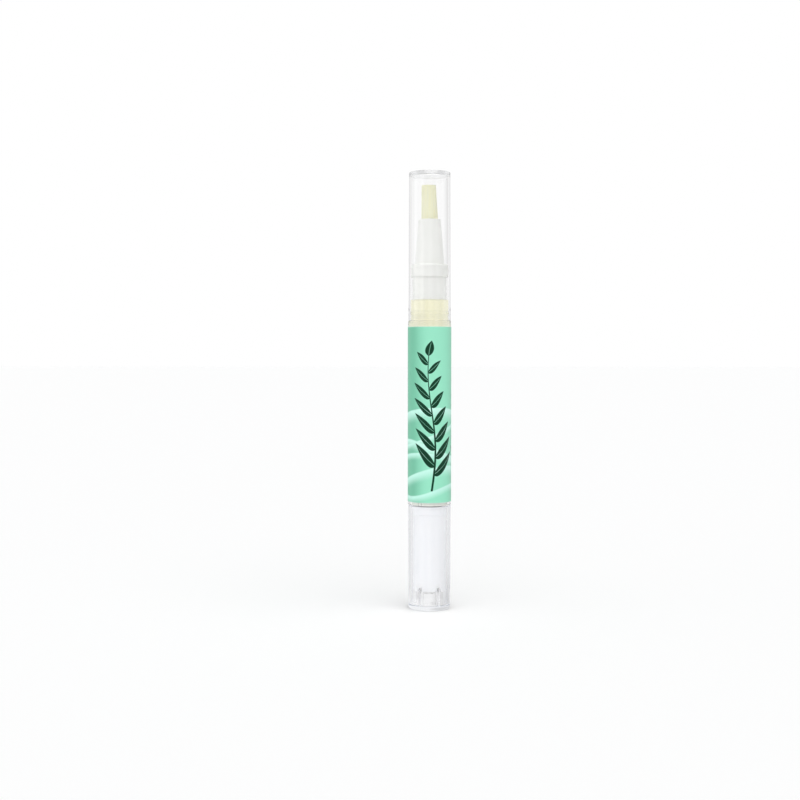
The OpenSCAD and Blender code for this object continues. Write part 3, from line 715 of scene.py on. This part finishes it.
# %% Place the camera
CAMERA_DISTANCE, CAMERA_HEIGHT = 0.3736, 0.0768
FOCAL_PIXELS, PIXELS_RIGHT, PIXELS_UP = 1251, 29.5, 48  # the lens, and the shifts of the view
camera_data = bpy.data.cameras.new("camera")
camera_data.lens = 56.3
camera_data.sensor_width = 36
camera = add_object("camera", camera_data)
scene.camera = camera
camera.location = (0, -CAMERA_DISTANCE, CAMERA_HEIGHT)
aim = Vector((-CAMERA_DISTANCE * PIXELS_RIGHT / FOCAL_PIXELS, 0,
              CAMERA_HEIGHT - CAMERA_DISTANCE * PIXELS_UP / FOCAL_PIXELS))
camera.rotation_euler = (aim - camera.location).to_track_quat("-Z", "Y").to_euler()

# %% [markdown]
# ## Effects that several finishes share
# Real plastic is never one flat colour. A mould leaves a fine grain and soft sink marks, the
# melt leaves faint streaks along its flow, and hands leave hairline scratches and smudges.
# Each effect is a node group, built once and placed in each finish with its own values. The
# sizes are in millimetres, and the groups divide by MM where they meet a texture, whose
# scale counts repeats to a metre.

# %% Start a node group and place it
def new_group(name, inputs, outputs):
    """Gives a new node group, the outputs its values come by and the node they leave by."""
    group = bpy.data.node_groups.new(name, "ShaderNodeTree")
    for title, value in inputs.items():
        kind = "NodeSocketVector" if value is None else "NodeSocketFloat"
        socket = group.interface.new_socket(title, in_out="INPUT", socket_type=kind)
        if value is not None:
            socket.default_value = value
    for title in outputs:
        group.interface.new_socket(title, in_out="OUTPUT", socket_type="NodeSocketFloat")
    return group, group.nodes.new("NodeGroupInput").outputs, group.nodes.new("NodeGroupOutput")


def effect(group, inputs):
    """Places a node group in the tree that its inputs come from. Gives its outputs."""
    return join("Group", inputs, node_tree=group).outputs


# %% Noise in blots and in streaks
MIDDLE = 0.3, 0.7  # where most values of noise lie


def noise(place, size, detail, distortion=0.0):
    """Smooth noise whose blots are about size millimetres across. Gives its 0 to 1 output."""
    return join("TexNoise", {
        "Vector": place, "Scale": calc("DIVIDE", 1 / MM, size), "Detail": detail,
        "Distortion": distortion}).outputs["Fac"]


def drawn_noise(place, scales, detail, turn=(0, 0, 0)):
    """Noise that is turned and then drawn out by its own scale along each axis."""
    stretch = join("CombineXYZ", dict(zip("XYZ", scales)))
    laid = join("Mapping", {
        "Vector": place, "Rotation": turn, "Scale": stretch.outputs["Vector"]})
    return join("TexNoise", {"Vector": laid.outputs["Vector"], "Scale": 1.0,
                             "Detail": detail}).outputs["Fac"]


# %% Grain and sink marks of a mould
moulded_skin, given, leaving = new_group(
    "moulded_skin", {"Place": None, "Grain Size": 0.2, "Grain Depth": 0.3, "Sink Size": 6.0},
    ("Height", "Sinks"))
grain = noise(given["Place"], given["Grain Size"], 3.0)
sinks = noise(given["Place"], given["Sink Size"], 1.0)
set_inputs(leaving, {"Height": calc("MULTIPLY_ADD", grain, given["Grain Depth"], sinks),
                     "Sinks": ramp(sinks, *MIDDLE)})

# %% Streaks along the flow of the melt
flow_streaks, given, leaving = new_group(
    "flow_streaks", {"Place": None, "Width": 0.6, "Length": 14.0}, ("Streaks",))
across = calc("DIVIDE", 1 / MM, given["Width"])
along = calc("DIVIDE", 1 / MM, given["Length"])
streaks = drawn_noise(given["Place"], (across, across, along), 2.0)
set_inputs(leaving, {"Streaks": ramp(streaks, *MIDDLE)})

# %% Scratches and smudges from handling
SCRATCH_LENGTH = 5 * MM
SCRATCH_TURNS = (0.5, 0.2, 0.4), (-0.7, 0.9, -0.3)
handling_wear, given, leaving = new_group(
    "handling_wear", {"Place": None, "Scratch Width": 0.12, "Smudge Size": 5.0},
    ("Scratches", "Smudges"))
thin = calc("DIVIDE", 1 / MM, given["Scratch Width"])
lines = (thin, 1 / SCRATCH_LENGTH, 1 / SCRATCH_LENGTH)
scratches = [ramp(drawn_noise(given["Place"], lines, 0.0, turn), 0.74, 0.80)
             for turn in SCRATCH_TURNS]
blots = noise(given["Place"], given["Smudge Size"], 4.0, 0.6)
set_inputs(leaving, {"Scratches": strongest(scratches), "Smudges": ramp(blots, 0.48, 0.68)})
print("shared effects:", [group.name for group in bpy.data.node_groups])

# %% [markdown]
# ## Finishes
# Each finish starts from the Principled shader. A value that is the same all over goes on
# the shader's own socket, and only what changes over the surface comes from nodes.

# %% Blend, raise and tint a surface
def blend_colours(share, first, second):
    """A colour between two colours, by a share from 0 to 1."""
    return join("Mix", {0: share, 6: first, 7: second}, data_type="RGBA").outputs[2]


def raise_surface(shader, height, depth):
    """Bumps a surface by a height from 0 to 1 times a depth in millimetres."""
    bump = join("Bump", {"Height": height, "Distance": depth * MM})
    set_inputs(shader, {"Normal": bump.outputs["Normal"]})


def tint_depth(material, tint, density):
    """Colours a clear material slowly, by how far light goes in it."""
    depth = add_node(material.node_tree, "VolumeAbsorption", {"Color": tint, "Density": density})
    set_inputs(material.node_tree.nodes["Material Output"], {"Volume": depth.outputs[0]})


# %% [markdown]
# Clear plastic is a glass shader with a little colour in its depth. Its surface is polished,
# with faint waves where the melt cooled, and smudges and hairlines that only blur it a little.

# %% Clear plastic
def clear_plastic(name, tint, density, frost=None):
    """Clear moulded plastic: it bends light, and the tint slowly colours it with thickness.

    Frost is a function that tells where the mould left the surface dull, and how dull."""
    material, shader, place = new_finish(name)
    skin = effect(moulded_skin, {"Place": place, "Grain Depth": 0.0, "Sink Size": 5.0})
    wear = effect(handling_wear, {"Place": place, "Smudge Size": 4.0})
    blur = calc("MULTIPLY_ADD", wear["Scratches"], 0.06, calc("MULTIPLY", wear["Smudges"], 0.03))
    if frost:
        blur = calc("ADD", frost(place), blur)
    set_inputs(shader, {"Base Color": (1, 1, 1, 1), "IOR": 1.5, "Transmission Weight": 1.0,
                        "Roughness": blur})
    raise_surface(shader, skin["Height"], 0.0002)
    tint_depth(material, tint, density)
    return material


def frosted_bore(place):
    """The knob's bore is dull, as the core of its mould left it."""
    parts = split(place)
    level = join("CombineXYZ", {"X": parts["X"], "Y": parts["Y"]})
    from_axis = vector_calc("LENGTH", level.outputs["Vector"])
    inside = ramp(from_axis, (KNOB_BORE_R + 0.02) * MM, (KNOB_BORE_R + 0.08) * MM, 0.2, 0.0)
    return calc("MULTIPLY", inside, calc("GREATER_THAN", parts["Z"], (KNOB_FLOOR - 0.1) * MM))


def dulled_end(place):
    """The cap's end is a little dull round the place where the melt came in."""
    return ramp(split(place)["Z"], (CAP_CEILING - 0.2) * MM, (CAP_CEILING + 0.3) * MM, 0.0, 0.16)


coat(clear_cap, clear_plastic("clear_cap_plastic", (0.5, 0.55, 0.6, 1), 1, dulled_end))
coat(clear_barrel, clear_plastic("clear_barrel_plastic", (0.5, 0.55, 0.6, 1), 2))
coat(clear_knob, clear_plastic("clear_knob_plastic", (0.35, 0.5, 0.8, 1), 7, frosted_bore))

# %% [markdown]
# The oil is clear and pale yellow. Its colour comes from its depth alone, so the column looks
# pale at its edges and full in the middle. A very faint haze runs along it where it moved.

# %% Oil
oil_finish, oil_shader, oil_place = new_finish("pale_oil")
haze = effect(flow_streaks, {"Place": oil_place, "Width": 1.5, "Length": 20.0})["Streaks"]
set_inputs(oil_shader, {
    "Base Color": blend_colours(haze, tone(255, 255, 253), tone(253, 253, 247)),
    "IOR": 1.47, "Transmission Weight": 1.0, "Roughness": 0.0})
tint_depth(oil_finish, (0.92, 0.88, 0.42, 1), 60)
coat(oil_column, oil_finish)

# %% [markdown]
# The opaque plastics share one recipe with different values: two close tones that follow the
# sink marks and the flow streaks, a roughness that wanders with them, hairlines and smudges,
# and a fine grain. Polypropylene is waxy and smooth, acetal is a little drier, and silicone
# rubber is soft, dark and matt.

# %% Opaque moulded plastics
def moulded_finish(name, light, dark, roughness, grain_size=0.2, depth=0.004, streak=0.6,
                   wear=0.1):
    """An opaque moulded plastic of two close tones, with grain, flow streaks and light wear."""
    material, shader, place = new_finish(name)
    skin = effect(moulded_skin, {"Place": place, "Grain Size": grain_size, "Grain Depth": 0.5})
    flow = effect(flow_streaks, {"Place": place, "Width": streak})
    worn = effect(handling_wear, {"Place": place})
    patches = calc("MULTIPLY_ADD", skin["Sinks"], 0.5, calc("MULTIPLY", flow["Streaks"], 0.5))
    marks = calc("ADD", worn["Scratches"], calc("MULTIPLY", worn["Smudges"], 0.6))
    dull = calc("MULTIPLY_ADD", patches, 0.08, roughness - 0.04)
    set_inputs(shader, {"Base Color": blend_colours(patches, light, dark),
                        "Roughness": calc("MULTIPLY_ADD", marks, wear, dull)})
    raise_surface(shader, skin["Height"], depth)
    return material


def refinish(node, material):
    """Gives a frame node another finish."""
    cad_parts[node].data.materials[0] = material


coat(white_ferrule, moulded_finish(
    "white_plastic", tone(246, 246, 243), tone(242, 243, 239), 0.36, grain_size=0.15))
refinish("drive_sleeve", moulded_finish("milky_plastic", tone(253, 253, 255),
                                        tone(250, 251, 254), 0.42, streak=0.9))
natural = moulded_finish("natural_plastic", tone(251, 251, 248), tone(246, 246, 241), 0.42)
for node in ("tuft_holder", "feed_tube", "piston", "spindle_nut", "ratchet_ring"):
    refinish(node, natural)
coat(threaded_spindle, natural)
refinish("click_ring", moulded_finish("grey_spring_plastic", tone(156, 166, 171),
                                      tone(144, 154, 160), 0.4, grain_size=0.12))
refinish("piston_seal", moulded_finish("dark_rubber", tone(64, 68, 72), tone(54, 58, 62), 0.62,
                                       grain_size=0.08, depth=0.006, wear=-0.15))

# %% [markdown]
# Nylon bristles are clear threads, wet with oil. Light passes from one to the next, so the
# bundle glows pale yellow and shades as one round body, not as hundreds of dark cracks. To
# say so, the shading normal of each bristle is turned most of the way to that of the bundle.
# Only the sides that face inwards keep their own, or they would turn dark from above.
# Streaks along the bristles vary the colour from thread to thread.

# %% Wet bristles
brush_finish, brush_shader, brush_place = new_finish("wet_nylon")
threads = effect(flow_streaks, {"Place": brush_place, "Width": 0.25, "Length": 9.0})["Streaks"]
set_inputs(brush_shader, {
    "Base Color": blend_colours(threads, tone(255, 255, 228), tone(254, 252, 214)),
    "Roughness": calc("MULTIPLY_ADD", threads, 0.15, 0.25), "IOR": 1.45})
brush_parts = split(brush_place)
leaning = ramp(brush_parts["Z"], MOUTH * MM, TIP * MM, 0.0, TIP_LEAN * MM)
sideways = join("CombineXYZ", {
    "X": calc("SUBTRACT", brush_parts["X"], leaning), "Y": brush_parts["Y"]})
outward = vector_calc("NORMALIZE", sideways.outputs["Vector"])
own = add_node(brush_place, "NewGeometry").outputs["Normal"]
on_side = calc("SUBTRACT", 1.0, calc("ABSOLUTE", split(own)["Z"]))
faces_out = ramp(vector_calc("DOT_PRODUCT", outward, own), -0.6, -0.1)
pull = calc("MULTIPLY", calc("MULTIPLY", on_side, faces_out), 2.0)
shared = vector_calc("NORMALIZE", vector_calc("MULTIPLY_ADD", outward, pull, own))
set_inputs(brush_shader, {"Normal": shared})
for piece in (brush, wet_core):
    coat(piece, brush_finish)

# %% [markdown]
# ## The label's print
# The film is printed in soft mint tones, with a dark green sprig of leaves. Paint on a
# wrapped film is easiest to plan as if the film lay flat: one number for the distance round
# the barrel in millimetres, and one for the height. Round the barrel is an angle times the
# radius, and the angle has to jump somewhere, so the coordinates are first turned until the
# jump falls in the film's seam.
#
# A leaf is then a simple question: how far is this point from the leaf's middle line, and is
# that less than the leaf's half width there? One group answers it for a whole row of leaves
# on one side of a stem. It slides the heights back along the leaves' slope, cuts them into
# equal cells, and asks the question once for each cell.

# %% Lay out a row of leaves
leaf_row, given, leaving = new_group("leaf_row", {
    "Beside": 0.0, "Height": 0.0, "First": 0.0, "Last": 1.0, "Pitch": 1.0, "Slope": 1.0,
    "Curl": 0.0, "Length": 1.0, "Width": 1.0, "Shrink": 0.4}, ("Leaf",))
beside_stem, pitch_given = given["Beside"], given["Pitch"]
leant = calc("MULTIPLY_ADD", beside_stem, given["Curl"], given["Slope"])
slid = calc("SUBTRACT", given["Height"], calc("MULTIPLY", leant, beside_stem))
cells = calc("DIVIDE", calc("SUBTRACT", slid, given["First"]), pitch_given)
cell = calc("FLOOR", cells)
span = calc("DIVIDE", calc("SUBTRACT", given["Last"], given["First"]), pitch_given)
in_row = calc("MULTIPLY", calc("GREATER_THAN", cell, -0.5),
              calc("LESS_THAN", cell, calc("SUBTRACT", span, 0.5)))
off_line = calc("SUBTRACT", calc("SUBTRACT", cells, cell), 0.5)
from_line = calc("ABSOLUTE", calc("MULTIPLY", off_line, pitch_given))
growth = calc("SUBTRACT", 1.0, calc("MULTIPLY", given["Shrink"], calc("DIVIDE", cell, span)))

# %% Draw the leaves with their middle ribs
EDGE_BLUR = 0.05
LEAF_POINT, LEAF_SWELL = 0.7, 3.16  # where a leaf is widest, and what makes that its width
reach = calc("DIVIDE", beside_stem, calc("MULTIPLY", growth, given["Length"]))
left_over = calc("SUBTRACT", 1.0, reach)
on_leaf = calc("MULTIPLY", calc("GREATER_THAN", reach, 0.0),
               calc("GREATER_THAN", left_over, 0.0))
swell = calc("MULTIPLY", calc("POWER", calc("MAXIMUM", reach, 0.0), LEAF_POINT),
             calc("MULTIPLY", left_over, LEAF_SWELL))
half_leaf = calc("MULTIPLY", calc("MULTIPLY", swell, growth),
                 calc("MULTIPLY", given["Width"], 0.5))
blade = ramp(calc("SUBTRACT", from_line, half_leaf), -EDGE_BLUR, EDGE_BLUR, 1.0, 0.0)
rib_line = calc("MULTIPLY", ramp(from_line, 0.03, 0.1, 1.0, 0.0),
                ramp(reach, 0.7, 0.95, 1.0, 0.0))
leaf_ink = calc("MULTIPLY", calc("SUBTRACT", blade, calc("MULTIPLY", rib_line, 0.7)),
                calc("MULTIPLY", on_leaf, in_row))
set_inputs(leaving, {"Leaf": calc("MAXIMUM", leaf_ink, 0.0)})

# %% [markdown]
# A sprig is a stem that sways, a row of leaves on each side, half a step apart, and one leaf
# at its end, which is the same group with its two directions exchanged.

# %% A sprig
SWAY_LENGTH = 7.5


def sprig(around, height, middle, foot, top, sway, leaf, pitch):
    """The ink of one sprig. All in mm: its middle round the film, its foot and its top."""
    swing = calc("SINE", calc("DIVIDE", calc("SUBTRACT", height, foot), SWAY_LENGTH))
    right = calc("SUBTRACT", around, calc("MULTIPLY_ADD", swing, sway, middle))
    length, width = leaf
    row = {"First": foot + pitch / 2, "Pitch": pitch, "Slope": 0.7, "Curl": 0.06,
           "Length": length, "Width": width, "Height": height, "Shrink": 0.45}
    steps = int((top - foot) / pitch) - 1
    right_row = dict(row, Beside=right, Last=foot + pitch * (steps + 0.5))
    left_row = dict(row, Beside=calc("MULTIPLY", right, -1.0), First=foot + pitch,
                    Last=foot + pitch * (steps + 1))
    end_leaf = {
        "Beside": calc("SUBTRACT", height, top - 0.3), "Slope": 0.0, "Curl": 0.02,
        "Height": calc("ADD", right, pitch / 2), "First": 0.0, "Last": pitch,
        "Pitch": pitch, "Length": length * 0.72, "Width": width * 0.7}
    thickness = ramp(height, foot, top, 0.32, 0.12)
    stem = ramp(calc("SUBTRACT", calc("ABSOLUTE", right), thickness), -EDGE_BLUR, EDGE_BLUR,
                1.0, 0.0)
    ends = calc("MULTIPLY", calc("GREATER_THAN", height, foot), calc("LESS_THAN", height, top))
    return strongest([calc("MULTIPLY", stem, ends)] + [
        effect(leaf_row, inputs)["Leaf"] for inputs in (right_row, left_row, end_leaf)])


# %% [markdown]
# The ground runs from a deeper mint to a lighter one round the barrel. That is partly the
# print's tone and partly painted light: painted shade at the back left, and a painted
# highlight towards the front right, where the broad lamp stands. Soft pale veils cross the
# lower half, each a wave with a faint edge. Then come the sprigs, in dark ink that lies a few
# thousandths of a millimetre proud, and the film's cut edges, which are pale.

# %% Lay the film flat and tint it
film_finish, film_shader, film_place = new_finish("mint_film")
turned = join("Mapping", {
    "Vector": film_place, "Rotation": (0, 0, pi - SEAM_ANGLE)})
flat = split(turned.outputs["Vector"])
film_angle = calc("ARCTAN2", flat["Y"], flat["X"])
film_round = calc("MULTIPLY", film_angle, FILM_OUT_R)
film_height = calc("DIVIDE", flat["Z"], MM)


def film_turn(degrees):
    """The angle on the turned film, in radians, of a direction round the pen."""
    return radians(degrees) + pi - SEAM_ANGLE


SHADED_DEEP_MINT, LIT_PALE_MINT = tone(124, 200, 169), tone(159, 236, 205)
VEIL_MINT, CUT_MINT, INK_GREEN = tone(206, 255, 240), tone(225, 245, 236), tone(4, 60, 38)
# Painted light: the ground is palest, a painted highlight, on the side facing the front right,
# and deepest, a painted shade, on the side away from it.
PAINTED_HIGHLIGHT_SIDE = -66
facing_painted_highlight = calc("COSINE", calc("SUBTRACT", film_angle, film_turn(PAINTED_HIGHLIGHT_SIDE)))
print_with_painted_light = blend_colours(ramp(facing_painted_highlight, 0.3, 1.0), SHADED_DEEP_MINT, LIT_PALE_MINT)

# %% Print the veils and the sprigs
# Each veil: its height, the rise of its wave, the wave's length and start, and its breadth.
VEILS = ((36.0, 1.8, 5.0, 0.4, 2.6), (40.5, 2.8, 7.5, 1.2, 3.6), (44.0, 3.2, 9.0, 2.2, 2.4),
         (48.5, 2.6, 6.0, 3.4, 3.8), (53.0, 3.6, 8.5, 0.1, 2.2), (57.5, 3.0, 10.0, 1.7, 4.2))
# Each sprig: its direction, foot, top and sway, its leaf's length and width, and its pitch.
SPRIGS = ((-84, 35.8, 76.0, 1.1, (6.2, 3.7), 5.0), (15, 40.0, 66.0, 0.8, (4.2, 2.4), 3.4),
          (165, 46.0, 70.0, 0.7, (3.8, 2.1), 3.2))
folds = []
for level, rise, wave, start, breadth in VEILS:
    swing = calc("SINE", calc("MULTIPLY_ADD", film_round, 1 / wave, start))
    below = calc("SUBTRACT", calc("MULTIPLY_ADD", swing, rise, level), film_height)
    folds.append(calc("MULTIPLY", ramp(below, -0.15, 0.35), ramp(below, 0.3, breadth, 0.95, 0.0)))
inks = [sprig(film_round, film_height, film_turn(degrees) * FILM_OUT_R, *rest)
        for degrees, *rest in SPRIGS]
ink = strongest(inks)
print_with_painted_light = blend_colours(strongest(folds), print_with_painted_light, VEIL_MINT)
print_with_painted_light = blend_colours(ink, print_with_painted_light, INK_GREEN)
print("veils and sprigs on the label:", len(folds), len(inks))

# %% Finish the film
off_middle = calc("ABSOLUTE", calc("SUBTRACT", film_height, (LABEL_FOOT + LABEL_TOP) / 2))
to_cut = calc("SUBTRACT", (LABEL_TOP - LABEL_FOOT) / 2, off_middle)
print_with_painted_light = blend_colours(ramp(to_cut, 0.05, 0.25, 0.6, 0.0), print_with_painted_light, CUT_MINT)
film_wear = effect(handling_wear, {"Place": film_place, "Smudge Size": 3.0})
film_skin = effect(moulded_skin, {"Place": film_place, "Grain Size": 0.3, "Grain Depth": 0.15,
                                  "Sink Size": 3.5})
dull = calc("MULTIPLY_ADD", film_wear["Smudges"], 0.08, 0.32)
dull = calc("MULTIPLY_ADD", film_wear["Scratches"], 0.15, dull)
set_inputs(film_shader, {"Base Color": print_with_painted_light, "Specular IOR Level": 0.18,
                         "Roughness": calc("MULTIPLY_ADD", ink, -0.06, dull)})
raise_surface(film_shader, calc("MULTIPLY_ADD", ink, 0.6, film_skin["Height"]), 0.006)
coat(mint_label, film_finish)
